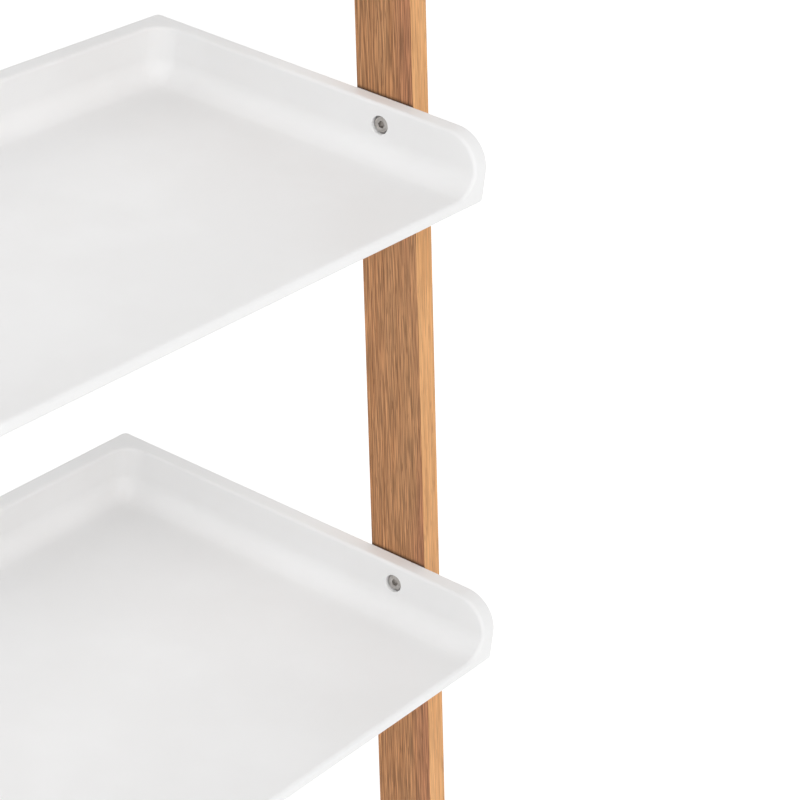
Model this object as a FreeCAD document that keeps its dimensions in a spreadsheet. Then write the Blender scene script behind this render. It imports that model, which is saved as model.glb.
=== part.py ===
import FreeCAD, Part
import os
import Sketcher

# Ladder shelf: two leaning oak stiles carry white moulded trays between them.
# Row frame: +X across, +Y towards the wall, +Z up; the origin is on the floor,
# at the middle of the bounding box. Every back edge stops short of the wall plane,
# which the wall pads and the wall brackets touch.

DIMENSIONS = [
    # stiles
    ("lean_angle", 9.5),
    ("stile_width", 50),
    ("stile_thickness", 20),
    ("stile_edge_round", 1),
    ("total_height", 2040),
    # trays
    ("tray_count", 5),
    ("tray_width", 660),
    ("top_tray_depth", 186),
    ("level_pitch", 362),
    ("lowest_lip_height", 142),
    ("tray_overhang", 69),
    ("lip_height", 52),
    ("lip_thickness", 15),
    ("floor_thickness", 10),
    ("nose_radius", 28),
    ("back_corner_radius", 5),
    ("inner_corner_radius", 19),
    ("floor_fillet", 18),
    ("inner_edge_round", 3),
    ("outer_edge_round", 1),
    ("base_edge_round", 3),
    # tray fixings
    ("bolt_drop", 16.2),
    ("bolt_setback", 20),
    ("bolt_diameter", 8),
    ("bolt_length", 20),
    ("bolt_tip_chamfer", 1),
    ("bolt_head_diameter", 13),
    ("bolt_head_height", 5),
    ("bolt_head_sunk", 2.5),
    ("bolt_head_bevel", 0.9),
    ("socket_across_flats", 5),
    ("socket_depth", 3.5),
    ("head_recess_diameter", 14.2),
    ("sleeve_outer_diameter", 12),
    ("sleeve_bore", 8.5),
    ("insert_diameter", 12),
    ("insert_length", 14),
    ("insert_bore", 8.1),
    ("insert_rim_chamfer", 0.6),
    ("dowel_diameter", 6),
    ("dowel_length", 20),
    ("dowel_depth_in_lip", 9),
    ("dowel_drop", 12),
    ("dowel_setback", 16),
    ("dowel_end_chamfer", 0.8),
    ("fit_gap", 0.05),
    # feet and wall fixing
    ("foot_pad_thickness", 3),
    ("pad_inset", 1),
    ("pad_edge_round", 0.8),
    ("pad_corner_radius", 3),
    ("wall_pad_end_margin", 2),
    ("wall_gap", 3),
    ("bracket_centre_height", 2012),
    ("bracket_height", 42),
    ("bracket_leg", 36),
    ("bracket_reach", 32),
    ("bracket_plate", 2.5),
    ("bracket_bend_radius", 3),
    ("bracket_corner_radius", 6),
    ("wall_hole_diameter", 5.5),
    ("wall_hole_offset", 18),
    ("screw_diameter", 4),
    ("screw_length", 16),
    ("screw_head_diameter", 8),
    ("screw_spacing", 22),
    ("screw_offset", 22),
    ("screw_tip_length", 3),
    ("screw_slot_width", 1.2),
    ("screw_slot_depth", 1),
]

SIDES = {"left": -1, "right": 1}
FULL_TURN = 360
CLOSE_ENOUGH = 1e-3


def dim(alias):
    """Expression for a driving dimension."""
    return "Params." + alias


# Derived places, as expressions of the driving dimensions.
LEAN = "tan(Params.lean_angle)"
STEP_BACK = "(Params.level_pitch * %s)" % LEAN
RAIL_STEP = "(Params.level_pitch / cos(Params.lean_angle))"
LOWEST_DEPTH = "(Params.top_tray_depth + (Params.tray_count - 1) * %s)" % STEP_BACK
WALL_Y = "((%s + Params.wall_gap) / 2)" % LOWEST_DEPTH
TRAY_BACK_Y = "(%s - Params.wall_gap)" % WALL_Y
STILE_RUN = "(Params.stile_width / cos(Params.lean_angle))"
HALF_TRAY = "(Params.tray_width / 2)"
BOLT_HEIGHT = "(Params.lowest_lip_height - Params.bolt_drop)"


def stile_front(height):
    """Expression for the y of the stiles' front edge at a height above the floor."""
    start = "(Params.tray_overhang - %s)" % WALL_Y
    return "(%s + (%s - Params.lowest_lip_height) * %s)" % (start, height, LEAN)


BOLT_Y = "(%s + Params.bolt_setback)" % stile_front(BOLT_HEIGHT)
HEAD_SEAT = "(Params.bolt_head_height + Params.bolt_head_sunk)"
STILE_BACK = "(%s + %s)" % (stile_front(dim("lowest_lip_height")), STILE_RUN)
FACET_START = "(Params.lowest_lip_height + (%s - %s) / %s)" % (TRAY_BACK_Y, STILE_BACK, LEAN)


def write_sheet(doc):
    sheet = doc.addObject("Spreadsheet::Sheet", "Params")
    for row, (alias, size) in enumerate(DIMENSIONS, start=1):
        sheet.set("A%d" % row, alias.replace("_", " "))
        sheet.set("B%d" % row, str(size))
        sheet.setAlias("B%d" % row, alias)
    doc.recompute()
    return sheet


def number(owner, expression):
    """Present value of an expression, for first guesses and for finding edges."""
    found = owner.evalExpression(expression)
    return float(getattr(found, "Value", found))


def new_body(doc, label, place=None):
    body = doc.addObject("PartDesign::Body", label)
    body.Label = label
    body.AllowCompound = True
    for axis, expression in (place or {}).items():
        body.setExpression("Placement.Base." + axis, expression)
    return body


def new_sketch(body, name, plane, offset=None):
    sketch = body.newObject("Sketcher::SketchObject", name)
    origin_plane = [item for item in body.Origin.OriginFeatures if item.Role == plane][0]
    sketch.AttachmentSupport = [(origin_plane, "")]
    sketch.MapMode = "FlatFace"
    if offset is not None:
        sketch.setExpression("AttachmentOffset.Base.z", offset)
    return sketch


def pin_point(sketch, geometry, point, across, up):
    """Hold one sketch point at a place given by two expressions."""
    for kind, expression in (("DistanceX", across), ("DistanceY", up)):
        name = "%s_%d_%d" % (kind, geometry, point)
        place = number(sketch, expression)
        index = sketch.addConstraint(Sketcher.Constraint(kind, -1, 1, geometry, point, place))
        sketch.renameConstraint(index, name)
        sketch.setExpression("Constraints." + name, expression)


def outline(sketch, corners):
    """Closed polygon through corners, each a pair of expressions."""
    spots = [FreeCAD.Vector(number(sketch, across), number(sketch, up), 0) for across, up in corners]
    first = sketch.GeometryCount
    for start, end in zip(spots, spots[1:] + spots[:1]):
        sketch.addGeometry(Part.LineSegment(start, end), False)
    count = len(spots)
    for index in range(count):
        following = first + (index + 1) % count
        sketch.addConstraint(Sketcher.Constraint("Coincident", first + index, 2, following, 1))
        pin_point(sketch, first + index, 1, *corners[index])


def circle(sketch, across, up, radius):
    centre = FreeCAD.Vector(number(sketch, across), number(sketch, up), 0)
    shape = Part.Circle(centre, FreeCAD.Vector(0, 0, 1), number(sketch, radius))
    geometry = sketch.addGeometry(shape, False)
    pin_point(sketch, geometry, 3, across, up)
    name = "radius_%d" % geometry
    index = sketch.addConstraint(Sketcher.Constraint("Radius", geometry, number(sketch, radius)))
    sketch.renameConstraint(index, name)
    sketch.setExpression("Constraints." + name, radius)


def pad(body, name, sketch, length, reverse=False):
    feature = body.newObject("PartDesign::Pad", name)
    feature.Profile = sketch
    feature.Reversed = reverse
    feature.setExpression("Length", length)
    body.Document.recompute()
    return feature


def pocket(body, name, sketch, length, reverse=False):
    before = body.Shape.Volume
    feature = body.newObject("PartDesign::Pocket", name)
    feature.Profile = sketch
    feature.Reversed = reverse
    feature.setExpression("Length", length)
    body.Document.recompute()
    if feature.Shape.Volume >= before:
        raise RuntimeError("pocket %s cuts nothing" % name)
    return feature


def revolve(body, name, sketch, axis):
    feature = body.newObject("PartDesign::Revolution", name)
    feature.Profile = sketch
    feature.ReferenceAxis = (sketch, [axis])
    feature.Angle = FULL_TURN
    body.Document.recompute()
    return feature


def dress_edges(body, kind, name, size_name, size, wanted):
    """Fillet or chamfer every edge of the tip that the wanted() test picks."""
    base = body.Tip
    edges = ["Edge%d" % (index + 1) for index, edge in enumerate(base.Shape.Edges) if wanted(edge)]
    if not edges:
        raise RuntimeError("no edges for " + name)
    feature = body.newObject("PartDesign::" + kind, name)
    feature.Base = (base, edges)
    feature.setExpression(size_name, size)
    body.Document.recompute()
    return feature


def fillet(body, name, radius, wanted):
    return dress_edges(body, "Fillet", name, "Radius", radius, wanted)


def chamfer(body, name, size, wanted):
    return dress_edges(body, "Chamfer", name, "Size", size, wanted)


def repeat_up_stile(body, name, features):
    """Repeat features once per tray, along the stile's lean."""
    rail = new_sketch(body, name + "_rail", "YZ_Plane")
    rise = FreeCAD.Vector(number(rail, LEAN), 1, 0)
    line = rail.addGeometry(Part.LineSegment(FreeCAD.Vector(0, 0, 0), rise), True)
    rail.addConstraint(Sketcher.Constraint("Coincident", -1, 1, line, 1))
    pin_point(rail, line, 2, STEP_BACK, dim("level_pitch"))
    pattern = body.newObject("PartDesign::LinearPattern", name)
    pattern.Originals = features
    pattern.Direction = (rail, ["Axis0"])
    pattern.Mode = "Spacing"
    pattern.setExpression("Offset", RAIL_STEP)
    pattern.setExpression("Occurrences", dim("tray_count"))
    body.Tip = pattern
    body.Document.recompute()
    return pattern


def near(value, target):
    return abs(value - target) < CLOSE_ENOUGH


def runs_along(edge, axis):
    """True for a straight edge along the X, Y or Z axis, given as 0, 1 or 2."""
    if not isinstance(edge.Curve, Part.Line):
        return False
    return near(abs(edge.Curve.Direction[axis]), 1)


def middle_of(edge):
    return edge.BoundBox.Center


# ---------------------------------------------------------------- stiles

def make_stile(doc, side):
    """Leaning oak stile: level foot, plumb facet at the wall, level top."""
    sign = SIDES[side]
    label = side + "_stile"
    body = new_body(doc, label, {"x": "%d * %s" % (sign, HALF_TRAY)})
    foot = dim("foot_pad_thickness")
    profile = new_sketch(body, label + "_profile", "YZ_Plane")
    outline(profile, [
        (stile_front(foot), foot),
        ("%s + %s" % (stile_front(foot), STILE_RUN), foot),
        (TRAY_BACK_Y, FACET_START),
        (TRAY_BACK_Y, dim("total_height")),
        (stile_front(dim("total_height")), dim("total_height")),
    ])
    pad(body, label + "_blank", profile, dim("stile_thickness"), reverse=sign < 0)
    fillet(body, label + "_eased_edges", dim("stile_edge_round"), lambda edge: True)
    fixing_holes(body, label, sign)
    screw_holes(body, label, sign)
    return body


def fixing_holes(body, label, sign):
    """Blind holes in the inner face: an insert nut and a dowel for every tray."""
    insert = new_sketch(body, label + "_insert_mouth", "YZ_Plane")
    circle(insert, BOLT_Y, BOLT_HEIGHT, "(Params.insert_diameter / 2)")
    insert_hole = pocket(body, label + "_insert_hole", insert,
                         "(Params.insert_length + Params.fit_gap)", reverse=sign > 0)
    dowel = new_sketch(body, label + "_dowel_mouth", "YZ_Plane")
    circle(dowel, *dowel_place(), "(Params.dowel_diameter / 2)")
    dowel_hole = pocket(body, label + "_dowel_hole", dowel,
                        "(Params.dowel_length - Params.dowel_depth_in_lip + Params.fit_gap)",
                        reverse=sign > 0)
    repeat_up_stile(body, label + "_fixing_holes", [insert_hole, dowel_hole])


def dowel_place():
    """The dowel sits behind and below the bolt, within the stile's width."""
    return "(%s + Params.dowel_setback)" % BOLT_Y, "(%s - Params.dowel_drop)" % BOLT_HEIGHT


def screw_places():
    """Centres of the two screws that hold a wall bracket to its stile."""
    across = "(%s - Params.screw_offset)" % WALL_Y
    return [(across, "(Params.bracket_centre_height %s Params.screw_spacing / 2)" % shift)
            for shift in ("-", "+")]


def screw_holes(body, label, sign):
    pilot = new_sketch(body, label + "_screw_pilots", "YZ_Plane")
    for across, up in screw_places():
        circle(pilot, across, up, "(Params.screw_diameter / 2)")
    depth = "(Params.screw_length - Params.bracket_plate + Params.fit_gap)"
    pocket(body, label + "_screw_holes", pilot, depth, reverse=sign > 0)


# ---------------------------------------------------------------- trays

def tray_depth(level):
    """Depth of a tray; level 0 is the lowest and the deepest."""
    return "(Params.top_tray_depth + (Params.tray_count - 1 - %d) * %s)" % (level, STEP_BACK)


def make_tray(doc, level):
    """One-piece tray with a lip at each side and at the back, open at the front.

    Its own origin is at the middle of its back face, on the underside.
    """
    label = "tray_%d" % (level + 1)
    lift = "(Params.lowest_lip_height - Params.lip_height + %d * Params.level_pitch)" % level
    body = new_body(doc, label, {"y": TRAY_BACK_Y, "z": lift})
    depth = tray_depth(level)
    block = new_sketch(body, label + "_plan", "XY_Plane")
    outline(block, [
        ("-" + HALF_TRAY, "-" + depth),
        (HALF_TRAY, "-" + depth),
        (HALF_TRAY, "0"),
        ("-" + HALF_TRAY, "0"),
    ])
    pad(body, label + "_block", block, dim("lip_height"))
    inner = "(Params.tray_width / 2 - Params.lip_thickness)"
    past_front = "-(%s + Params.lip_thickness)" % depth
    hollow = new_sketch(body, label + "_inside", "XY_Plane", dim("lip_height"))
    outline(hollow, [
        ("-" + inner, past_front),
        (inner, past_front),
        (inner, "-" + dim("lip_thickness")),
        ("-" + inner, "-" + dim("lip_thickness")),
    ])
    pocket(body, label + "_hollow", hollow, "(Params.lip_height - Params.floor_thickness)")
    round_tray(body, label, depth)
    lip_holes(body, label, depth)
    return body


def round_tray(body, label, depth):
    """Moulded radii, from the largest to the smallest."""
    front = -number(body, depth)
    top = number(body, dim("lip_height"))
    floor = number(body, dim("floor_thickness"))
    half = number(body, HALF_TRAY)
    lip = number(body, dim("lip_thickness"))

    def outer_back(edge):
        return runs_along(edge, 2) and near(middle_of(edge).y, 0)

    def inner_back(edge):
        return runs_along(edge, 2) and near(middle_of(edge).y, -lip)

    def nose(edge):
        middle = middle_of(edge)
        return runs_along(edge, 0) and near(middle.y, front) and near(middle.z, top)

    def floor_line(edge):
        bound = edge.BoundBox
        flat = near(bound.ZMin, floor) and near(bound.ZMax, floor)
        return flat and not near(bound.Center.y, front)

    def rim_inside(edge):
        bound = edge.BoundBox
        inside = max(abs(bound.XMin), abs(bound.XMax)) < half - lip + CLOSE_ENOUGH
        on_top = near(bound.ZMin, top)
        on_front = near(bound.YMin, front) and bound.ZMin > CLOSE_ENOUGH
        return inside and (on_top or on_front)

    fillet(body, label + "_back_corners", dim("back_corner_radius"), outer_back)
    fillet(body, label + "_inner_corners", dim("inner_corner_radius"), inner_back)
    fillet(body, label + "_lip_noses", dim("nose_radius"), nose)
    fillet(body, label + "_floor_sweep", dim("floor_fillet"), floor_line)
    fillet(body, label + "_inner_rim", dim("inner_edge_round"), rim_inside)

    def base(edge):
        bound = edge.BoundBox
        return near(bound.ZMin, 0) and near(bound.ZMax, 0)

    fillet(body, label + "_base_edges", dim("base_edge_round"), base)

    def rim_outside(edge):
        bound = edge.BoundBox
        at_side = near(abs(bound.Center.x), half) and near(bound.XLength, 0)
        at_back = near(bound.ZMin, top) and bound.YMax > -lip / 2
        return (at_side and bound.ZMin > CLOSE_ENOUGH and bound.ZMax > floor) or at_back

    fillet(body, label + "_outer_rim", dim("outer_edge_round"), rim_outside)


def lip_holes(body, label, depth):
    """Bolt holes with recesses for the heads, and blind dowel holes, in both side lips."""
    along = "(Params.tray_overhang - Params.bolt_drop * %s + Params.bolt_setback - %s)" % (LEAN, depth)
    up = "(Params.lip_height - Params.bolt_drop)"
    for side, sign in SIDES.items():
        outer_face = "%d * %s" % (sign, HALF_TRAY)
        inner_face = "%d * (%s - Params.lip_thickness)" % (sign, HALF_TRAY)
        name = "%s_%s" % (label, side)
        bore = new_sketch(body, name + "_bolt_place", "YZ_Plane", outer_face)
        circle(bore, along, up, "(Params.sleeve_outer_diameter / 2)")
        pocket(body, name + "_bolt_hole", bore, dim("lip_thickness"), reverse=sign < 0)
        recess = new_sketch(body, name + "_head_place", "YZ_Plane", inner_face)
        circle(recess, along, up, "(Params.head_recess_diameter / 2)")
        pocket(body, name + "_head_recess", recess, HEAD_SEAT, reverse=sign > 0)
        dowel = new_sketch(body, name + "_dowel_place", "YZ_Plane", outer_face)
        circle(dowel, along + " + Params.dowel_setback", up + " - Params.dowel_drop",
               "(Params.dowel_diameter / 2)")
        pocket(body, name + "_dowel_hole", dowel, dim("dowel_depth_in_lip"), reverse=sign < 0)


# ---------------------------------------------------------------- tray fixings
# Each fixing is turned about its own X axis, at the bolt of the lowest tray, and then
# repeated up the stile. Local x = 0 is the joint face between lip and stile, and the
# outward direction, into the stile, is sign * X.

def fixing_body(doc, label, sign, place):
    across, up = place
    return new_body(doc, label, {"x": "%d * %s" % (sign, HALF_TRAY), "y": across, "z": up})


def turned(body, label, sign, profile):
    """Revolve a half-profile about X; profile x runs outward from the joint face."""
    sketch = new_sketch(body, label + "_half_profile", "XZ_Plane")
    outline(sketch, [("%d * (%s)" % (sign, along), radius) for along, radius in profile])
    return revolve(body, label + "_turning", sketch, "H_Axis")


def make_tray_bolts(doc, side):
    """Low-head socket bolts; the bevelled head lies below the lip's inner face."""
    sign = SIDES[side]
    label = side + "_tray_bolts"
    body = fixing_body(doc, label, sign, (BOLT_Y, BOLT_HEIGHT))
    head_top = "-(Params.lip_thickness - Params.bolt_head_sunk)"
    seat = "(%s + Params.bolt_head_height)" % head_top
    tip = "(%s + Params.bolt_length)" % seat
    head_radius = "(Params.bolt_head_diameter / 2)"
    shank_radius = "(Params.bolt_diameter / 2)"
    turning = turned(body, label, sign, [
        (head_top, "0"),
        (head_top, head_radius + " - Params.bolt_head_bevel"),
        (head_top + " + Params.bolt_head_bevel", head_radius),
        (seat, head_radius),
        (seat, shank_radius),
        (tip + " - Params.bolt_tip_chamfer", shank_radius),
        (tip, shank_radius + " - Params.bolt_tip_chamfer"),
        (tip, "0"),
    ])
    socket = new_sketch(body, label + "_socket", "YZ_Plane", "%d * (%s)" % (sign, head_top))
    hexagon(socket, "(Params.socket_across_flats / 2)")
    key_hole = pocket(body, label + "_key_hole", socket, dim("socket_depth"), reverse=sign > 0)
    repeat_up_stile(body, label + "_by_tray", [turning, key_hole])
    return body


def hexagon(sketch, half_flats):
    """Regular hexagon about the sketch origin, with two flats level; half a side spans 30 degrees."""
    half_flat = "(%s * tan(30))" % half_flats
    point = "(%s / cos(30))" % half_flats
    outline(sketch, [
        (point, "0"),
        (half_flat, half_flats),
        ("-" + half_flat, half_flats),
        ("-" + point, "0"),
        ("-" + half_flat, "-" + half_flats),
        (half_flat, "-" + half_flats),
    ])


def make_bolt_sleeves(doc, side):
    """Steel sleeves in the lip's holes, which keep the bolts from crushing the plastic."""
    sign = SIDES[side]
    label = side + "_bolt_sleeves"
    body = fixing_body(doc, label, sign, (BOLT_Y, BOLT_HEIGHT))
    seat = "-(Params.lip_thickness - %s)" % HEAD_SEAT
    turning = turned(body, label, sign, [
        (seat, "Params.sleeve_bore / 2"),
        (seat, "Params.sleeve_outer_diameter / 2 - Params.fit_gap"),
        ("0", "Params.sleeve_outer_diameter / 2 - Params.fit_gap"),
        ("0", "Params.sleeve_bore / 2"),
    ])
    repeat_up_stile(body, label + "_by_tray", [turning])
    return body


def make_insert_nuts(doc, side):
    """Threaded inserts in the stile; the bolts screw into them."""
    sign = SIDES[side]
    label = side + "_insert_nuts"
    body = fixing_body(doc, label, sign, (BOLT_Y, BOLT_HEIGHT))
    wall = "Params.insert_diameter / 2 - Params.fit_gap"
    turning = turned(body, label, sign, [
        ("0", "Params.insert_bore / 2 + Params.insert_rim_chamfer"),
        ("0", wall),
        ("Params.insert_length - Params.insert_rim_chamfer", wall),
        ("Params.insert_length", wall + " - Params.insert_rim_chamfer"),
        ("Params.insert_length", "Params.insert_bore / 2"),
        ("Params.insert_rim_chamfer", "Params.insert_bore / 2"),
    ])
    repeat_up_stile(body, label + "_by_tray", [turning])
    return body


def make_dowels(doc, side):
    """Steel dowels between lip and stile, which stop the trays from tipping on their bolts."""
    sign = SIDES[side]
    label = side + "_dowels"
    body = fixing_body(doc, label, sign, dowel_place())
    wall = "Params.dowel_diameter / 2 - Params.fit_gap"
    inner_end = "-(Params.dowel_depth_in_lip - Params.fit_gap)"
    outer_end = "(Params.dowel_length - Params.dowel_depth_in_lip)"
    turning = turned(body, label, sign, [
        (inner_end, "0"),
        (inner_end, wall + " - Params.dowel_end_chamfer"),
        (inner_end + " + Params.dowel_end_chamfer", wall),
        (outer_end + " - Params.dowel_end_chamfer", wall),
        (outer_end, wall + " - Params.dowel_end_chamfer"),
        (outer_end, "0"),
    ])
    repeat_up_stile(body, label + "_by_tray", [turning])
    return body


# ---------------------------------------------------------------- feet and wall fixing

def make_foot_pad(doc, side):
    """Rubber pad under the stile's level foot."""
    sign = SIDES[side]
    label = side + "_foot_pad"
    body = new_body(doc, label, {
        "x": "%d * (%s + Params.stile_thickness / 2)" % (sign, HALF_TRAY),
        "y": "%s + %s / 2" % (stile_front(dim("foot_pad_thickness")), STILE_RUN),
    })
    half_x = "(Params.stile_thickness / 2 - Params.pad_inset)"
    half_y = "(%s / 2 - Params.pad_inset)" % STILE_RUN
    plan = new_sketch(body, label + "_plan", "XY_Plane")
    outline(plan, rectangle(half_x, half_y))
    pad(body, label + "_blank", plan, dim("foot_pad_thickness"))
    fillet(body, label + "_corners", dim("pad_corner_radius"), lambda edge: runs_along(edge, 2))
    fillet(body, label + "_lower_edge", dim("pad_edge_round"), lambda edge: near(edge.BoundBox.ZMax, 0))
    return body


def rectangle(half_across, half_up):
    return [("-" + half_across, "-" + half_up), (half_across, "-" + half_up),
            (half_across, half_up), ("-" + half_across, half_up)]


def make_wall_pad(doc, side):
    """Rubber pad on the stile's plumb facet; it fills the gap to the wall."""
    sign = SIDES[side]
    label = side + "_wall_pad"
    body = new_body(doc, label, {
        "x": "%d * (%s + Params.stile_thickness / 2)" % (sign, HALF_TRAY),
        "y": TRAY_BACK_Y,
        "z": "(%s + Params.total_height) / 2" % FACET_START,
    })
    half_x = "(Params.stile_thickness / 2 - Params.pad_inset)"
    half_z = "((Params.total_height - %s) / 2 - Params.wall_pad_end_margin)" % FACET_START
    face = new_sketch(body, label + "_face", "XZ_Plane")
    outline(face, rectangle(half_x, half_z))
    pad(body, label + "_blank", face, dim("wall_gap"), reverse=True)
    fillet(body, label + "_corners", dim("pad_corner_radius"), lambda edge: runs_along(edge, 1))
    thickness = number(body, dim("wall_gap"))
    fillet(body, label + "_outer_edge", dim("pad_edge_round"),
           lambda edge: near(edge.BoundBox.YMin, thickness))
    return body


def make_wall_bracket(doc, side):
    """Bent steel angle: one leg on the stile's inner face, the other flat on the wall."""
    sign = SIDES[side]
    label = side + "_wall_bracket"
    body = new_body(doc, label, {
        "x": "%d * %s" % (sign, HALF_TRAY),
        "y": WALL_Y,
        "z": dim("bracket_centre_height"),
    })
    plate = dim("bracket_plate")

    def inward(length):
        return "%d * (%s)" % (-sign, length)

    plan = new_sketch(body, label + "_plan", "XY_Plane", "-Params.bracket_height / 2")
    outline(plan, [
        (inward("0"), "-" + dim("bracket_leg")),
        (inward("0"), "0"),
        (inward(dim("bracket_reach")), "0"),
        (inward(dim("bracket_reach")), "-" + plate),
        (inward(plate), "-" + plate),
        (inward(plate), "-" + dim("bracket_leg")),
    ])
    pad(body, label + "_angle", plan, dim("bracket_height"))
    thickness = number(body, plate)
    leg = number(body, dim("bracket_leg"))
    reach = number(body, dim("bracket_reach"))

    def inner_bend(edge):
        middle = middle_of(edge)
        return runs_along(edge, 2) and near(abs(middle.x), thickness) and near(middle.y, -thickness)

    def leg_corners(edge):
        return runs_along(edge, 0) and near(middle_of(edge).y, -leg)

    def reach_corners(edge):
        return runs_along(edge, 1) and near(abs(middle_of(edge).x), reach)

    fillet(body, label + "_inner_bend", dim("bracket_bend_radius"), inner_bend)
    fillet(body, label + "_leg_corners", dim("bracket_corner_radius"), leg_corners)
    fillet(body, label + "_reach_corners", dim("bracket_corner_radius"), reach_corners)
    screws = new_sketch(body, label + "_screw_places", "YZ_Plane")
    for shift in ("-", ""):
        circle(screws, "-" + dim("screw_offset"), shift + "(Params.screw_spacing / 2)",
               "(Params.screw_diameter / 2 + Params.fit_gap)")
    pocket(body, label + "_screw_holes", screws, plate, reverse=sign < 0)
    hole_radius = number(body, "(Params.screw_diameter / 2 + Params.fit_gap)")

    def hole_mouth(edge):
        if not isinstance(edge.Curve, Part.Circle):
            return False
        return near(edge.Curve.Radius, hole_radius) and near(abs(middle_of(edge).x), thickness)

    sink = "(Params.screw_head_diameter / 2 - Params.screw_diameter / 2 - Params.fit_gap)"
    chamfer(body, label + "_countersinks", sink, hole_mouth)
    wall_hole = new_sketch(body, label + "_wall_hole_place", "XZ_Plane")
    circle(wall_hole, inward(dim("wall_hole_offset")), "0", "(Params.wall_hole_diameter / 2)")
    pocket(body, label + "_wall_hole", wall_hole, plate, reverse=True)
    return body


def make_bracket_screws(doc, side):
    """Countersunk wood screws, flush with the bracket's leg."""
    sign = SIDES[side]
    label = side + "_bracket_screws"
    across, up = screw_places()[0]
    body = fixing_body(doc, label, sign, (across, up))
    head_top = "-Params.bracket_plate"
    head_radius = "Params.screw_head_diameter / 2 - Params.fit_gap * 2"
    shank_radius = "Params.screw_diameter / 2 - Params.fit_gap"
    neck = "(%s + Params.screw_head_diameter / 2 - Params.screw_diameter / 2)" % head_top
    tip = "(%s + Params.screw_length)" % head_top
    turning = turned(body, label, sign, [
        (head_top, "0"),
        (head_top, head_radius),
        (neck, shank_radius),
        (tip + " - Params.screw_tip_length", shank_radius),
        (tip, "0"),
    ])
    slot = new_sketch(body, label + "_slot_place", "YZ_Plane", "%d * (%s)" % (sign, head_top))
    outline(slot, rectangle("(Params.screw_head_diameter / 2)", "(Params.screw_slot_width / 2)"))
    slot_cut = pocket(body, label + "_slot", slot, dim("screw_slot_depth"), reverse=sign > 0)
    pattern = body.newObject("PartDesign::LinearPattern", label + "_pair")
    pattern.Originals = [turning, slot_cut]
    upright = [item for item in body.Origin.OriginFeatures if item.Role == "Z_Axis"][0]
    pattern.Direction = (upright, [""])
    pattern.Mode = "Spacing"
    pattern.setExpression("Offset", dim("screw_spacing"))
    pattern.Occurrences = len(screw_places())
    body.Tip = pattern
    doc.recompute()
    return body


def check_and_export(doc, parts):
    doc.recompute()
    for item in doc.Objects:
        if "Invalid" in item.State or "Error" in item.State:
            raise RuntimeError("%s failed: %s" % (item.Label, item.State))
    for part in parts:
        if part.Shape.isNull() or not part.Shape.isValid():
            raise RuntimeError(part.Label + " has no valid shape")
    os.makedirs("parts", exist_ok=True)
    for part in parts:
        part.Shape.exportStep("parts/%s.step" % part.Label)
        bound = part.Shape.BoundBox
        print("%-22s solids %d  volume %.0f  x %.1f..%.1f  y %.1f..%.1f  z %.1f..%.1f" % (
            part.Label, len(part.Shape.Solids), part.Shape.Volume,
            bound.XMin, bound.XMax, bound.YMin, bound.YMax, bound.ZMin, bound.ZMax))


def main():
    doc = FreeCAD.newDocument("ladder_shelf")
    sheet = write_sheet(doc)
    levels = int(sheet.get("tray_count"))
    parts = [make_tray(doc, level) for level in range(levels)]
    makers = [make_stile, make_tray_bolts, make_bolt_sleeves, make_insert_nuts, make_dowels,
              make_foot_pad, make_wall_pad, make_wall_bracket, make_bracket_screws]
    for side in SIDES:
        parts += [make(doc, side) for make in makers]
    check_and_export(doc, parts)


main()
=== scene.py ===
import math

import bmesh
import bpy
from mathutils import Matrix, Vector


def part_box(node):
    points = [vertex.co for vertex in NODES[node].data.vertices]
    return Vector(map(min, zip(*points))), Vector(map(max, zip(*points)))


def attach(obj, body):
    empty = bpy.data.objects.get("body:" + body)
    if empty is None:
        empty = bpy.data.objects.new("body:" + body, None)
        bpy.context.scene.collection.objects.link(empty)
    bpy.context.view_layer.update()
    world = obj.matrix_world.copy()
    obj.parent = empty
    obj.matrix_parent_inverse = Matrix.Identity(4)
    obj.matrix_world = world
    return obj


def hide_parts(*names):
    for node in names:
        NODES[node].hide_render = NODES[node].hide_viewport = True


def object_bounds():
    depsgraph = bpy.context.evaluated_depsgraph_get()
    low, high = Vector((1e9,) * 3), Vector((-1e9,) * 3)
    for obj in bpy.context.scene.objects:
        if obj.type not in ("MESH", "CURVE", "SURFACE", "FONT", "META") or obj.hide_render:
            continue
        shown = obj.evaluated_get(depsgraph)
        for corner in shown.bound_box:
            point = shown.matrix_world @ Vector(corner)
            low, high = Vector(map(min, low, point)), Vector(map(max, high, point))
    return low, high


# Ladder shelf: white moulded trays between two leaning oak stiles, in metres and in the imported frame:
# X along the trays, Y towards the wall, Z up.

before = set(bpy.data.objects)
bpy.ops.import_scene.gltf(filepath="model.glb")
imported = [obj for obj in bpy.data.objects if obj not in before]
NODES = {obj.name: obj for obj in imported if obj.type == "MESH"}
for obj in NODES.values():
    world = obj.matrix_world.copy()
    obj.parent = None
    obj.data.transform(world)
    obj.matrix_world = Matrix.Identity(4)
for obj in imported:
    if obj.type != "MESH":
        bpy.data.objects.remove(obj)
cad_low, cad_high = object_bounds()

MM = 0.001
SIDES = {"left": -1, "right": 1}
TRAYS = sorted(name for name in NODES if name.startswith("tray_"))

# Tray section, as the CAD trays have it. Only the outer edge and the recess's mouth are softer here.
LIP = 15 * MM
FLOOR = 10 * MM
NOSE_RADIUS = 28 * MM
BACK_CORNER = 5 * MM
INNER_CORNER = 19 * MM
FLOOR_FILLET = 18 * MM
INNER_EDGE = 3 * MM
OUTER_EDGE = 2 * MM
BASE_EDGE = 3 * MM
MOUTH_ROUND = 0.5 * MM
RECESS_RADIUS = 7.1 * MM
SLEEVE_HOLE = 6 * MM
DOWEL_HOLE = 3 * MM

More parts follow.
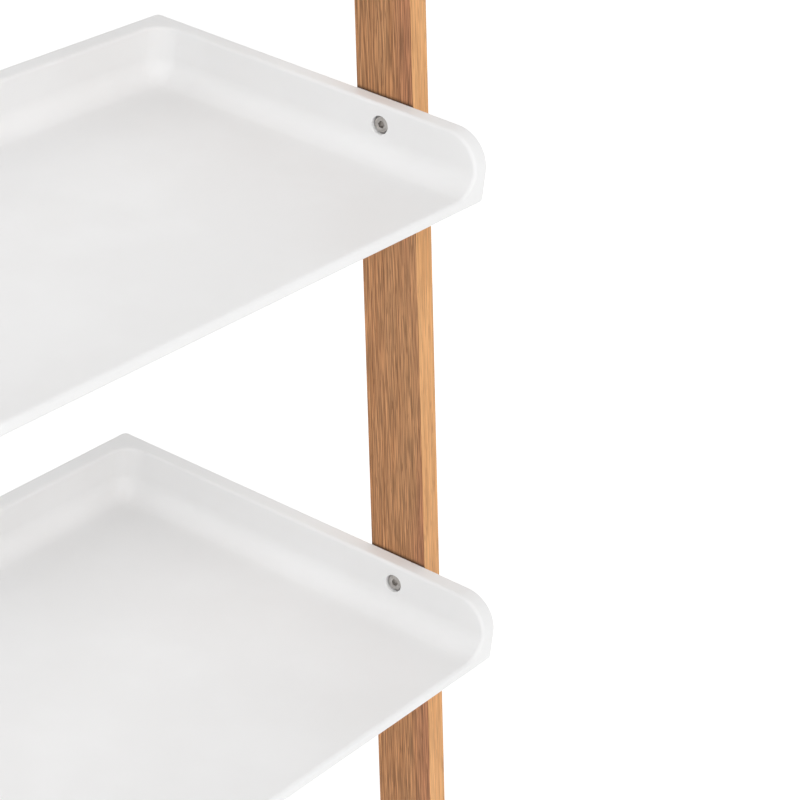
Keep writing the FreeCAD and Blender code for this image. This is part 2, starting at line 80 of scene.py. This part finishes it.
# Facets along each rounding, and around each hole.
BACK_CORNER_STEPS = 8
INNER_CORNER_STEPS = 14
FLOOR_FILLET_STEPS = 12
EDGE_STEPS = 5
OUTER_EDGE_STEPS = 4
NOSE_STEPS = 18
MOUTH_STEPS = 4
BOLT_HOLE_STEPS = 64
DOWEL_HOLE_STEPS = 24
CIRCULAR_PROFILE = 0.5

# How far the cutters stand past the tray.
NOSE_CLEARANCE = 7 * MM
HOLE_CLEARANCE = 3 * MM

# Coordinates this near count as equal, and edges that turn by more than this angle count as sharp.
SAME = 0.02 * MM
SHARP_ANGLE = math.radians(32)

# How fine each noise is, in cells to the metre.
MOTTLE_SCALE = 9
SCUFF_SCALE = (40, 420, 420)
SCUFF_TURN = 0.6
MOULD_GRAIN_SCALE = 1300
MOULD_RIPPLE_SCALE = 60
METAL_FILM_SCALE = 260
METAL_MARK_SCALE = 1800
TURNING_RING_SCALE = 2600
RUBBER_GRAIN_SCALE = 1500
RUBBER_DUST_SCALE = 120
ORANGE_PEEL_SCALE = 520
COAT_DUST_SCALE = 45
FLOOR_TONE_SCALE = 0.8

# Oak grain. These scales run through the stile, across its wide face and along its grain.
FIBRE_SCALE = (1500, 1500, 28)
STREAK_SCALE = (430, 430, 11)
BOARD_SCALE = (16, 34, 3.2)
VESSEL_SCALE = (820, 820, 62)
WANDER_SCALE = (12, 12, 2.5)
RING_WIDTH = 3.4 * MM
RING_SLANT = 0.35
RING_SWAY = 14 * MM

# How far along the noise each stile is cut from.
BOARD_OFFSET = {"left": 3.7, "right": 9.1}

# A band is where a smooth step starts and where it ends.
STREAK_BAND = (0.36, 0.66)
FIBRE_BAND = (0.36, 0.64)
FRONT_BAND = (20 * MM, 4 * MM)
PAINTED_SHADE_BAND = (0.8, 0.45)
NARROW_FACE_BAND = (0.45, 0.8)
END_FACE_BAND = (0.6, 0.85)

# Painted contact shade: how far away another part darkens the wood with painted shade.
PAINTED_SHADE_REACH = 5 * MM
PAINTED_SHADE_SAMPLES = 8

# Oak tints. The edge tints are lighter than the wide faces' tints, partly for the grain's cut and partly
# as painted light.
OAK_LIGHT = (0.5, 0.245, 0.11, 1)
OAK_DARK = (0.39, 0.178, 0.074, 1)
OAK_EARLY = (0.30, 0.132, 0.058, 1)
OAK_PALE_BOARD = (0.45, 0.235, 0.11, 1)
OAK_NEAR_FRONT = (0.40, 0.165, 0.092, 1)
OAK_LIT_EDGE_LIGHT = (0.79, 0.42, 0.178, 1)
OAK_LIT_EDGE_DARK = (0.68, 0.338, 0.132, 1)
OAK_PORE = (0.19, 0.082, 0.034, 1)
# Painted shade, where another part comes near the wood.
OAK_PAINTED_SHADE = (0.05, 0.028, 0.016, 1)
OAK_END = (0.27, 0.135, 0.06, 1)

# How strongly each tint shows, and what the narrow faces lose of the fibres and pores.
EARLY_SHARE = 0.2
PALE_BOARD_SHARE = 0.5
NEAR_FRONT_SHARE = 0.5
# Share of the lighter narrow-face tint, which is partly painted light.
LIT_EDGE_SHARE = 0.88
EDGE_FIBRE_LOSS = 0.6
PORE_SHARE = 0.65
EDGE_PORE_LOSS = 0.3
PAINTED_SHADE_SHARE = 0.85
END_SHARE = 0.5

# Hardware colours.
BRASS = (0.72, 0.53, 0.25, 1)
BRASS_DULL = (0.5, 0.34, 0.14, 1)

# Studio floor. Its glow grows from front to back.
FLOOR_RADIUS = 40
FLOOR_SIDES = 96
GLOW_BAND = (-1.2, 0.8)
GLOW_FRONT = 0.12
GLOW_BEHIND = 0.42

# Studio sky. Its bands are in the sine of the elevation.
HORIZON_BAND = (0.13, 0.37)
HORIZON_STRENGTH = 0.62
SKY_STRENGTH = 1.02
OVERHEAD_BAND = (0.6, 0.84)
OVERHEAD_SHARE = 0.35

# Offsets are from the middle of the shelf.
SOFTBOXES = {
    "left_softbox": {"offset": Vector((-2.8, -3.0, 1.6)), "side": 3.0, "watts": 34},
    "high_softbox": {"offset": Vector((-0.8, -2.4, 3.0)), "side": 2.6, "watts": 35},
}

# Camera, fitted to the outline of the trays and the stile. Its offset is from tray_3's right front corner.
CAMERA_OFFSET = Vector((-1.75137, -1.04435, 0.82985))
CAMERA_HEADING = math.radians(58.01826)
CAMERA_PITCH = math.radians(27.22947)
CAMERA_ROLL = math.radians(7.06841)
CAMERA_LENS = 138.42
CAMERA_SENSOR = 36

# ---------------------------------------------------------------- tray meshes


def tray_blank(low, high):
    """Sharp-edged tray: a slab with a lip at each side and at the back, open at the front."""
    bm = bmesh.new()
    inner_x, inner_back, floor = high.x - LIP, high.y - LIP, low.z + FLOOR

    def corners(half, front, back, height):
        spots = [(-half, front), (half, front), (half, back), (-half, back)]
        return [bm.verts.new((x, y, height)) for x, y in spots]

    base = corners(high.x, low.y, high.y, low.z)
    rim = corners(high.x, low.y, high.y, high.z)
    inner_rim = corners(inner_x, low.y, inner_back, high.z)
    inner_floor = corners(inner_x, low.y, inner_back, floor)
    a, b, c, d = range(4)
    faces = [
        [base[d], base[c], base[b], base[a]],
        [base[a], base[b], rim[b], inner_rim[b], inner_floor[b], inner_floor[a], inner_rim[a], rim[a]],
        [base[b], base[c], rim[c], rim[b]],
        [base[c], base[d], rim[d], rim[c]],
        [base[d], base[a], rim[a], rim[d]],
        [rim[a], inner_rim[a], inner_rim[d], inner_rim[c], inner_rim[b], rim[b], rim[c], rim[d]],
        [inner_rim[a], inner_floor[a], inner_floor[d], inner_rim[d]],
        [inner_rim[d], inner_floor[d], inner_floor[c], inner_rim[c]],
        [inner_rim[c], inner_floor[c], inner_floor[b], inner_rim[b]],
        [inner_floor[a], inner_floor[b], inner_floor[c], inner_floor[d]],
    ]
    for face in faces:
        bm.faces.new(face)
    bmesh.ops.recalc_face_normals(bm, faces=bm.faces)
    return bm


def round_edges(bm, radius, segments, wanted):
    """Bevel to a circular arc every edge that, with its two ends, passes the wanted() test."""
    edges = [edge for edge in bm.edges if wanted(edge.verts[0].co, edge.verts[1].co, edge)]
    bmesh.ops.bevel(bm, geom=edges, offset=radius, offset_type="OFFSET", segments=segments,
                    profile=CIRCULAR_PROFILE, affect="EDGES", clamp_overlap=False, loop_slide=True)


def same(*values):
    """Whether coordinates count as equal."""
    return max(values) - min(values) < SAME


def round_corners(bm, low, high):
    """The upright corners at the back, and the sweep from the floor up into the lips."""
    inner_back, floor = high.y - LIP, low.z + FLOOR

    def upright(p, q):
        return same(p.x, q.x) and same(p.y, q.y)

    def back_corner(p, q, edge):
        return upright(p, q) and same(p.y, high.y)

    def inner_corner(p, q, edge):
        return upright(p, q) and same(p.y, inner_back)

    def floor_line(p, q, edge):
        return same(p.z, q.z, floor) and not same(p.y, q.y, low.y)

    round_edges(bm, BACK_CORNER, BACK_CORNER_STEPS, back_corner)
    round_edges(bm, INNER_CORNER, INNER_CORNER_STEPS, inner_corner)
    round_edges(bm, FLOOR_FILLET, FLOOR_FILLET_STEPS, floor_line)


def round_rims(bm, low, high):
    """The small radii: along the inside of the rim and the floor's front, the base, the outside."""
    inner_x, inner_back = high.x - LIP, high.y - LIP

    def sharp(edge):
        return len(edge.link_faces) == 2 and edge.calc_face_angle() > SHARP_ANGLE

    def inside(p):
        return abs(p.x) < inner_x + SAME and p.y < inner_back + SAME and p.z > low.z + SAME

    def outside(p):
        return p.z > low.z + SAME and not inside(p)

    def inner_edge(p, q, edge):
        return sharp(edge) and inside(p) and inside(q)

    def base_edge(p, q, edge):
        return sharp(edge) and same(p.z, q.z, low.z)

    def outer_edge(p, q, edge):
        return sharp(edge) and outside(p) and outside(q)

    round_edges(bm, INNER_EDGE, EDGE_STEPS, inner_edge)
    round_edges(bm, BASE_EDGE, EDGE_STEPS, base_edge)
    round_edges(bm, OUTER_EDGE, OUTER_EDGE_STEPS, outer_edge)


def nose_section(low, high):
    """Outline, as (y, z), of what is cut from a lip's front: outside its nose, and clear of the tray."""
    centre_y, centre_z = low.y + NOSE_RADIUS, high.z - NOSE_RADIUS
    # The nose is round down to where the floor's sweep ends, and straight from there to the front.
    sweep_end = math.asin((low.z + FLOOR + FLOOR_FILLET - centre_z) / NOSE_RADIUS)
    arc = math.pi / 2 - sweep_end
    turns = [0] + [sweep_end + arc * step / NOSE_STEPS for step in range(NOSE_STEPS + 1)]
    section = [(centre_y - NOSE_RADIUS * math.cos(t), centre_z + NOSE_RADIUS * math.sin(t)) for t in turns]
    front, above = low.y - NOSE_CLEARANCE, high.z + NOSE_CLEARANCE
    return [*section, (centre_y, above), (front, above), (front, centre_z)]


def nose_cutter(low, high):
    """What is cut from the front of both side lips to leave their rounded noses."""
    bm = bmesh.new()
    section = nose_section(low, high)
    reach = high.x + NOSE_CLEARANCE
    left, right = [[bm.verts.new((sign * reach, y, z)) for y, z in section] for sign in SIDES.values()]
    bm.faces.new(left)
    bm.faces.new(right)
    for first in range(len(section)):
        second = (first + 1) % len(section)
        bm.faces.new([left[first], left[second], right[second], right[first]])
    bmesh.ops.recalc_face_normals(bm, faces=bm.faces)
    return bm


def node_points(node, low_z, high_z):
    """Corners of the part of a node that lies between two heights, as (lowest, highest)."""
    spots = [v.co for v in NODES[node].data.vertices if low_z < v.co.z < high_z]
    low = Vector([min(p[axis] for p in spots) for axis in range(3)])
    high = Vector([max(p[axis] for p in spots) for axis in range(3)])
    return low, high


def turned_cutter(bm, sign, centre, profile, steps):
    """Add a closed solid turned about an X axis through centre; profile is (x, radius) pairs."""
    turn = [2 * math.pi * step / steps for step in range(steps)]
    rings = []
    for x, radius in profile:
        spots = [(centre.y + radius * math.cos(t), centre.z + radius * math.sin(t)) for t in turn]
        rings.append([bm.verts.new((sign * x, y, z)) for y, z in spots])
    for ring, following in zip(rings, rings[1:]):
        for step in range(steps):
            after = (step + 1) % steps
            bm.faces.new([ring[step], ring[after], following[after], following[step]])
    bm.faces.new(rings[0])
    bm.faces.new(rings[-1])


def recess_mouth(inner):
    """Rounding of a bolt recess's mouth in the lip's inner face, as (x, radius) pairs."""
    turns = [math.radians(90 - 90 * step / MOUTH_STEPS) for step in range(MOUTH_STEPS + 1)]
    depths = [inner + MOUTH_ROUND * (1 - math.sin(t)) for t in turns]
    radii = [RECESS_RADIUS + MOUTH_ROUND * (1 - math.cos(t)) for t in turns]
    return list(zip(depths, radii))


def nearest_x(low, high):
    """Distance from the middle of the shelf to the near side of a box."""
    return min(abs(low.x), abs(high.x))


def lip_cutters(low, high):
    """Everything that is cut out of both side lips: stepped bolt holes and blind dowel holes."""
    bm = bmesh.new()
    inner, past = high.x - LIP, high.x + HOLE_CLEARANCE
    for side, sign in SIDES.items():
        sleeve = node_points(side + "_bolt_sleeves", low.z, high.z)
        dowel = node_points(side + "_dowels", low.z, high.z)
        seat, blind = nearest_x(*sleeve), nearest_x(*dowel)
        bolt_hole = [(inner - HOLE_CLEARANCE, RECESS_RADIUS + MOUTH_ROUND), *recess_mouth(inner),
                     (seat, RECESS_RADIUS), (seat, SLEEVE_HOLE), (past, SLEEVE_HOLE)]
        dowel_hole = [(blind, DOWEL_HOLE), (past, DOWEL_HOLE)]
        turned_cutter(bm, sign, (sleeve[0] + sleeve[1]) / 2, bolt_hole, BOLT_HOLE_STEPS)
        turned_cutter(bm, sign, (dowel[0] + dowel[1]) / 2, dowel_hole, DOWEL_HOLE_STEPS)
    bmesh.ops.recalc_face_normals(bm, faces=bm.faces)
    return bm


def mesh_object(name, bm):
    """Scene object from a bmesh, which is used up."""
    mesh = bpy.data.meshes.new(name)
    bm.to_mesh(mesh)
    bm.free()
    made = bpy.data.objects.new(name, mesh)
    bpy.context.scene.collection.objects.link(made)
    return made


def cut_away(made, cutter_bm):
    """Replace an object's mesh by what is left of it once the cutter is taken away."""
    cutter = mesh_object("cutter", cutter_bm)
    cut = made.modifiers.new("cut", "BOOLEAN")
    cut.object = cutter
    cut.solver = "EXACT"
    graph = bpy.context.evaluated_depsgraph_get()
    mesh = bpy.data.meshes.new_from_object(made.evaluated_get(graph))
    made.modifiers.clear()
    made.data = mesh
    bpy.data.objects.remove(cutter)


def make_tray(node):
    """Finely rounded tray that stands for one CAD tray."""
    low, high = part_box(node)
    bm = tray_blank(low, high)
    round_corners(bm, low, high)
    tray = mesh_object(node + "_moulding", bm)
    cut_away(tray, nose_cutter(low, high))
    bm = bmesh.new()
    bm.from_mesh(tray.data)
    round_rims(bm, low, high)
    bm.to_mesh(tray.data)
    bm.free()
    cut_away(tray, lip_cutters(low, high))
    tray.data.shade_smooth()
    tray.data.set_sharp_from_angle(angle=SHARP_ANGLE)
    flat = tray.modifiers.new("flat_faces", "WEIGHTED_NORMAL")
    flat.keep_sharp = True
    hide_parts(node)
    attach(tray, "root")
    return tray


# ---------------------------------------------------------------- material graphs


class Graph:
    """Shorthand for the node tree of one material, or of the world."""

    def __init__(self, owner):
        owner.use_nodes = True
        self.owner = owner
        self.tree = owner.node_tree
        self.tree.nodes.clear()

    def add(self, kind, inputs=None, **settings):
        node = self.tree.nodes.new("ShaderNode" + kind)
        for name, value in settings.items():
            setattr(node, name, value)
        for key, value in (inputs or {}).items():
            self.plug(node.inputs[key], value)
        return node

    def plug(self, socket, value):
        if isinstance(value, bpy.types.NodeSocket):
            self.tree.links.new(value, socket)
        else:
            socket.default_value = value

    def place(self):
        """Position in the frame, since every object sits at the origin."""
        return self.add("TexCoord").outputs["Object"]

    def facing(self):
        """Direction that the surface faces, in the frame."""
        return self.add("TexCoord").outputs["Normal"]

    def mapped(self, vector, scale=(1, 1, 1), turn=(0, 0, 0), move=(0, 0, 0)):
        inputs = {"Vector": vector, "Scale": scale, "Rotation": turn, "Location": move}
        return self.add("Mapping", inputs).outputs["Vector"]

    def noise(self, vector, scale=1.0, detail=2.0, rough=0.5):
        inputs = {"Vector": vector, "Scale": scale, "Detail": detail, "Roughness": rough}
        return self.add("TexNoise", inputs).outputs["Fac"]

    def math(self, operation, first, second=0.0):
        return self.add("Math", {0: first, 1: second}, operation=operation).outputs[0]

    def times(self, first, second):
        return self.math("MULTIPLY", first, second)

    def axes(self, vector):
        """X, Y and Z of a vector."""
        return self.add("SeparateXYZ", {0: vector}).outputs

    def fade(self, value, start, end, low=0.0, high=1.0):
        """Smooth step of a value from low at start to high at end."""
        inputs = {"Value": value, "From Min": start, "From Max": end, "To Min": low, "To Max": high}
        return self.add("MapRange", inputs, interpolation_type="SMOOTHSTEP").outputs["Result"]

    def mix(self, share, first, second, blend="MIX"):
        node = self.add("Mix", data_type="RGBA", blend_type=blend)
        for index, value in ((0, share), (6, first), (7, second)):
            self.plug(node.inputs[index], value)
        return node.outputs[2]

    def bump(self, height, strength, distance, below=None):
        inputs = {"Height": height, "Strength": strength, "Distance": distance}
        if below is not None:
            inputs["Normal"] = below
        return self.add("Bump", inputs).outputs["Normal"]

    def finish(self, **sockets):
        """Surface shader with the named inputs, as the material's output."""
        inputs = {name.replace("_", " "): value for name, value in sockets.items()}
        shader = self.add("BsdfPrincipled", inputs)
        output = self.add("OutputMaterial")
        self.tree.links.new(shader.outputs[0], output.inputs[0])
        return self.owner


def grey(level, warm=0.0):
    """Grey, with more red and less blue as warm grows."""
    return (level * (1 + warm), level, level * (1 - warm), 1)


# ---------------------------------------------------------------- materials


def make_white_plastic():
    """Satin white moulding: faint mottling, a fine moulded texture and light scuffs."""
    g = Graph(bpy.data.materials.new("white_moulding"))
    place = g.place()
    mottle = g.noise(place, MOTTLE_SCALE, detail=3)
    colour = g.mix(g.fade(mottle, 0.35, 0.65), grey(0.845, 0.001), grey(0.87, -0.001))
    scuffs = g.noise(g.mapped(place, SCUFF_SCALE, turn=(0, 0, SCUFF_TURN)), detail=4, rough=0.6)
    roughness = g.fade(scuffs, 0.35, 0.75, low=0.44, high=0.56)
    ripple = g.bump(g.noise(place, MOULD_RIPPLE_SCALE, detail=1), strength=0.04, distance=0.6 * MM)
    grain = g.noise(place, MOULD_GRAIN_SCALE, detail=2)
    normal = g.bump(grain, strength=0.05, distance=0.2 * MM, below=ripple)
    return g.finish(Base_Color=colour, Roughness=roughness, Normal=normal, Specular_IOR_Level=0.4)


def stile_lean():
    """Angle of the stiles from plumb, from how the trays' fronts step back."""
    first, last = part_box(TRAYS[0])[0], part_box(TRAYS[-1])[0]
    return math.atan2(last.y - first.y, last.z - first.z)


def stile_place(g, side):
    """Position in a stile's own axes: through it, across its wide face, and up its grain."""
    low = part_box(side + "_stile")[0]
    lean = stile_lean()
    foot = Matrix.Rotation(lean, 3, "X") @ Vector((0, low.y, low.z))
    return g.mapped(g.place(), turn=(lean, 0, 0), move=(-low.x, -foot.y, -foot.z))


def early_wood(g, place, board_place):
    """Growth rings that slant through the stile and sway along it, 1 in their early wood."""
    through, across, _ = g.axes(place)
    wander = g.noise(g.mapped(board_place, WANDER_SCALE), detail=3)
    sway = g.times(g.math("SUBTRACT", wander, 0.5), RING_SWAY)
    slanted = g.math("ADD", across, g.times(through, RING_SLANT))
    ring = g.math("FRACT", g.math("DIVIDE", g.math("ADD", slanted, sway), RING_WIDTH))
    return g.fade(g.math("ABSOLUTE", g.math("SUBTRACT", ring, 0.5)), 0.1, 0.45)


def oak_grain(g, side):
    """The patterns that oak's colour and relief are mixed from, by name."""
    place = stile_place(g, side)
    board_place = g.mapped(place, move=(0, 0, BOARD_OFFSET[side]))
    early = early_wood(g, place, board_place)
    vessels = g.noise(g.mapped(board_place, VESSEL_SCALE), detail=1)
    pores_here = g.math("ADD", g.times(early, 0.5), 0.5)
    return {
        "across": g.axes(place)[1],
        "early": early,
        "fibre": g.noise(g.mapped(board_place, FIBRE_SCALE), detail=1),
        "streak": g.noise(g.mapped(board_place, STREAK_SCALE), detail=2),
        "board": g.noise(g.mapped(board_place, BOARD_SCALE), detail=3),
        "pore": g.times(g.fade(vessels, 0.57, 0.68), pores_here),
    }


def wide_face_colour(g, grain):
    """Streaks, rings, paler boards, and a redder tone towards the stile's front."""
    board = grain["board"]
    colour = g.mix(g.fade(grain["streak"], *STREAK_BAND), OAK_LIGHT, OAK_DARK)
    colour = g.mix(g.times(grain["early"], EARLY_SHARE), colour, OAK_EARLY)
    colour = g.mix(g.fade(board, 0.4, 0.62, high=PALE_BOARD_SHARE), colour, OAK_PALE_BOARD)
    near_front = g.times(g.fade(grain["across"], *FRONT_BAND), g.fade(board, 0.62, 0.44))
    return g.mix(g.times(near_front, NEAR_FRONT_SHARE), colour, OAK_NEAR_FRONT)


def painted_lit_narrow_face_colour(g, grain):
    """Streaks alone, in lighter and more golden tints: partly the grain's cut, partly painted light on the
    narrow faces.
    """
    return g.mix(g.fade(grain["streak"], *STREAK_BAND), OAK_LIT_EDGE_LIGHT, OAK_LIT_EDGE_DARK)


def oak_colour(g, grain):
    """Colour of every face of a stile. The narrow faces are lighter, partly for the grain's cut and partly
    as painted light, and there is painted shade where another part touches it.
    """
    facing = g.axes(g.mapped(g.facing(), turn=(stile_lean(), 0, 0)))
    narrow_face = g.fade(g.math("ABSOLUTE", facing[1]), *NARROW_FACE_BAND)
    end_face = g.fade(g.math("ABSOLUTE", facing[2]), *END_FACE_BAND)
    shade_probe = g.add("AmbientOcclusion", {"Distance": PAINTED_SHADE_REACH}, samples=PAINTED_SHADE_SAMPLES)
    unshaded = shade_probe.outputs["AO"]

    wide, narrow = wide_face_colour(g, grain), painted_lit_narrow_face_colour(g, grain)
    # Narrow faces get lighter tints, partly for the grain's cut and partly as painted light.
    colour = g.mix(g.times(narrow_face, LIT_EDGE_SHARE), wide, narrow)
    fibre_share = g.math("SUBTRACT", 1.0, g.times(narrow_face, EDGE_FIBRE_LOSS))
    fibre_tone = g.fade(grain["fibre"], *FIBRE_BAND, low=0.6, high=1.36)
    colour = g.mix(fibre_share, colour, fibre_tone, "MULTIPLY")
    pore_depth = g.math("SUBTRACT", PORE_SHARE, g.times(narrow_face, EDGE_PORE_LOSS))
    colour = g.mix(g.times(grain["pore"], pore_depth), colour, OAK_PORE)
    # Painted shade: the wood darkens where ambient occlusion finds another part within reach.
    colour = g.mix(g.fade(unshaded, *PAINTED_SHADE_BAND, high=PAINTED_SHADE_SHARE), colour, OAK_PAINTED_SHADE)
    return g.mix(g.times(end_face, END_SHARE), colour, OAK_END)


def make_oak(side):
    """Oiled oak whose grain runs up the leaning stile; each stile is cut from another board."""
    g = Graph(bpy.data.materials.new("oak_" + side))
    grain = oak_grain(g, side)
    roughness = g.fade(grain["fibre"], 0.3, 0.7, low=0.5, high=0.64)
    relief = g.math("SUBTRACT", g.times(grain["fibre"], 0.5), grain["pore"])
    streak_relief = g.bump(grain["streak"], strength=0.15, distance=0.3 * MM)
    normal = g.bump(relief, strength=0.4, distance=0.12 * MM, below=streak_relief)
    return g.finish(Base_Color=oak_colour(g, grain), Roughness=roughness, Normal=normal,
                    Specular_IOR_Level=0.3)


def axis_distance(g, node):
    """Distance from the axis, along X, of whichever of a node's fixings is nearest."""
    flat = g.mapped(g.place(), (0, 1, 1))
    nearest = None
    for tray in TRAYS:
        low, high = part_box(tray)
        first, last = node_points(node, low.z, high.z)
        centre = (0, (first.y + last.y) / 2, (first.z + last.z) / 2)
        reach = g.add("VectorMath", {0: flat, 1: centre}, operation="DISTANCE").outputs["Value"]
        nearest = reach if nearest is None else g.math("MINIMUM", nearest, reach)
    return nearest


def make_metal(name, colour, dark, rough, turned_node=None):
    """Plated metal with a dull film in patches; a turned one has fine rings about its own axis."""
    g = Graph(bpy.data.materials.new(name))
    film = g.noise(g.place(), METAL_FILM_SCALE, detail=3)
    shade = g.mix(g.fade(film, 0.35, 0.7), colour, dark)
    roughness = g.fade(film, 0.3, 0.7, low=rough - 0.06, high=rough + 0.08)
    if turned_node is None:
        marks = g.noise(g.place(), METAL_MARK_SCALE, detail=2)
    else:
        from_axis = g.add("CombineXYZ", {"X": axis_distance(g, turned_node)}).outputs[0]
        marks = g.noise(from_axis, TURNING_RING_SCALE, detail=2)
        shade = g.mix(g.fade(marks, 0.35, 0.65, high=0.25), shade, dark)
    normal = g.bump(marks, strength=0.15, distance=0.05 * MM)
    return g.finish(Base_Color=shade, Metallic=1.0, Roughness=roughness, Normal=normal)


def make_rubber():
    """Matt black rubber with a fine grain, greyed by dust in patches."""
    g = Graph(bpy.data.materials.new("pad_rubber"))
    grain = g.noise(g.place(), RUBBER_GRAIN_SCALE, detail=2)
    dust = g.noise(g.place(), RUBBER_DUST_SCALE, detail=3)
    colour = g.mix(g.fade(dust, 0.45, 0.75), grey(0.022), grey(0.06, 0.05))
    roughness = g.fade(dust, 0.3, 0.7, low=0.72, high=0.88)
    normal = g.bump(grain, strength=0.3, distance=0.15 * MM)
    return g.finish(Base_Color=colour, Roughness=roughness, Normal=normal, Specular_IOR_Level=0.35)


def make_powder_coat():
    """White powder coat: orange peel, and a faint grey where dust settles in it."""
    g = Graph(bpy.data.materials.new("bracket_powder_coat"))
    peel = g.noise(g.place(), ORANGE_PEEL_SCALE, detail=1)
    dust = g.noise(g.place(), COAT_DUST_SCALE, detail=3)
    colour = g.mix(g.fade(dust, 0.4, 0.7), grey(0.86), grey(0.815, 0.006))
    roughness = g.fade(peel, 0.3, 0.7, low=0.34, high=0.46)
    normal = g.bump(peel, strength=0.22, distance=0.12 * MM)
    return g.finish(Base_Color=colour, Roughness=roughness, Normal=normal, Specular_IOR_Level=0.45)


def paint(owner, material):
    """Give an object one material in every slot that it has."""
    slots = owner.material_slots
    if len(slots) == 0:
        owner.data.materials.append(material)
    for slot in slots:
        slot.material = material


def finish_parts():
    """Build the trays, and give every part its material."""
    white = make_white_plastic()
    for tray in TRAYS:
        paint(make_tray(tray), white)
    # Both sides' bolts have the same axes, so the left ones' serve for both.
    steel = make_metal("bolt_steel", grey(0.55, 0.04), grey(0.43, 0.05), rough=0.4,
                       turned_node="left_tray_bolts")
    zinc = make_metal("zinc_plate", grey(0.62, -0.02), grey(0.5, -0.01), rough=0.36)
    brass = make_metal("insert_brass", BRASS, BRASS_DULL, rough=0.38)
    rubber = make_rubber()
    powder = make_powder_coat()
    for side in SIDES:
        looks = {
            "stile": make_oak(side),
            "tray_bolts": steel,
            "bolt_sleeves": zinc,
            "insert_nuts": brass,
            "dowels": zinc,
            "foot_pad": rubber,
            "wall_pad": rubber,
            "wall_bracket": powder,
            "bracket_screws": zinc,
        }
        for part, material in looks.items():
            paint(NODES[side + "_" + part], material)


# ---------------------------------------------------------------- floor, light and camera


def make_floor():
    """Plain pale floor, large enough to fill every view, with a faint glow that is stronger behind."""
    bm = bmesh.new()
    bmesh.ops.create_circle(bm, cap_ends=True, radius=FLOOR_RADIUS, segments=FLOOR_SIDES)
    floor = mesh_object("floor", bm)
    g = Graph(bpy.data.materials.new("pale_floor"))
    tone = g.noise(g.place(), FLOOR_TONE_SCALE, detail=2)
    colour = g.mix(g.fade(tone, 0.3, 0.7), grey(0.93), grey(0.95))
    glow = g.fade(g.axes(g.place())[1], *GLOW_BAND, low=GLOW_FRONT, high=GLOW_BEHIND)
    material = g.finish(Base_Color=colour, Roughness=0.9, Specular_IOR_Level=0.1,
                        Emission_Color=grey(1), Emission_Strength=glow)
    floor.data.materials.append(material)


def make_sky():
    """Even pale sky, dimmer at the horizon and overhead."""
    g = Graph(bpy.data.worlds.new("studio"))
    height = g.axes(g.add("TexCoord").outputs["Generated"])[2]
    above_horizon = g.fade(height, *HORIZON_BAND, low=HORIZON_STRENGTH, high=SKY_STRENGTH)
    overhead = g.fade(height, *OVERHEAD_BAND, low=1, high=OVERHEAD_SHARE)
    strength = g.times(above_horizon, overhead)
    sky = g.add("Background", {"Color": grey(1), "Strength": strength})
    g.tree.links.new(sky.outputs[0], g.add("OutputWorld").inputs[0])
    bpy.context.scene.world = g.owner


def make_softbox(name, spot, aim, side, watts):
    """Square area light that faces the point aim."""
    light = bpy.data.lights.new(name, "AREA")
    light.shape = "RECTANGLE"
    light.size = light.size_y = side
    light.energy = watts
    lamp = bpy.data.objects.new(name, light)
    bpy.context.scene.collection.objects.link(lamp)
    lamp.location = spot
    lamp.rotation_mode = "QUATERNION"
    lamp.rotation_quaternion = (aim - spot).to_track_quat("-Z", "Y")


def make_light():
    """Sky and two softboxes, with colours shown as they are lit."""
    make_sky()
    middle = (cad_low + cad_high) / 2
    for name, box in SOFTBOXES.items():
        make_softbox(name, middle + box["offset"], middle, box["side"], box["watts"])
    bpy.context.scene.view_settings.view_transform = "Standard"


def make_camera():
    """Looks down, from in front and to the left, at the right-hand ends of tray_2 and tray_3."""
    low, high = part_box("tray_3")
    corner = Vector((high.x, low.y, high.z))
    camera = bpy.data.objects.new("camera", bpy.data.cameras.new("camera"))
    camera.data.lens = CAMERA_LENS
    camera.data.sensor_width = CAMERA_SENSOR
    heading = Matrix.Rotation(-CAMERA_HEADING, 4, "Z")
    pitch = Matrix.Rotation(math.pi / 2 - CAMERA_PITCH, 4, "X")
    roll = Matrix.Rotation(CAMERA_ROLL, 4, "Z")
    camera.matrix_world = Matrix.Translation(corner + CAMERA_OFFSET) @ heading @ pitch @ roll
    bpy.context.scene.collection.objects.link(camera)
    bpy.context.scene.camera = camera


make_camera()
finish_parts()
make_floor()
make_light()
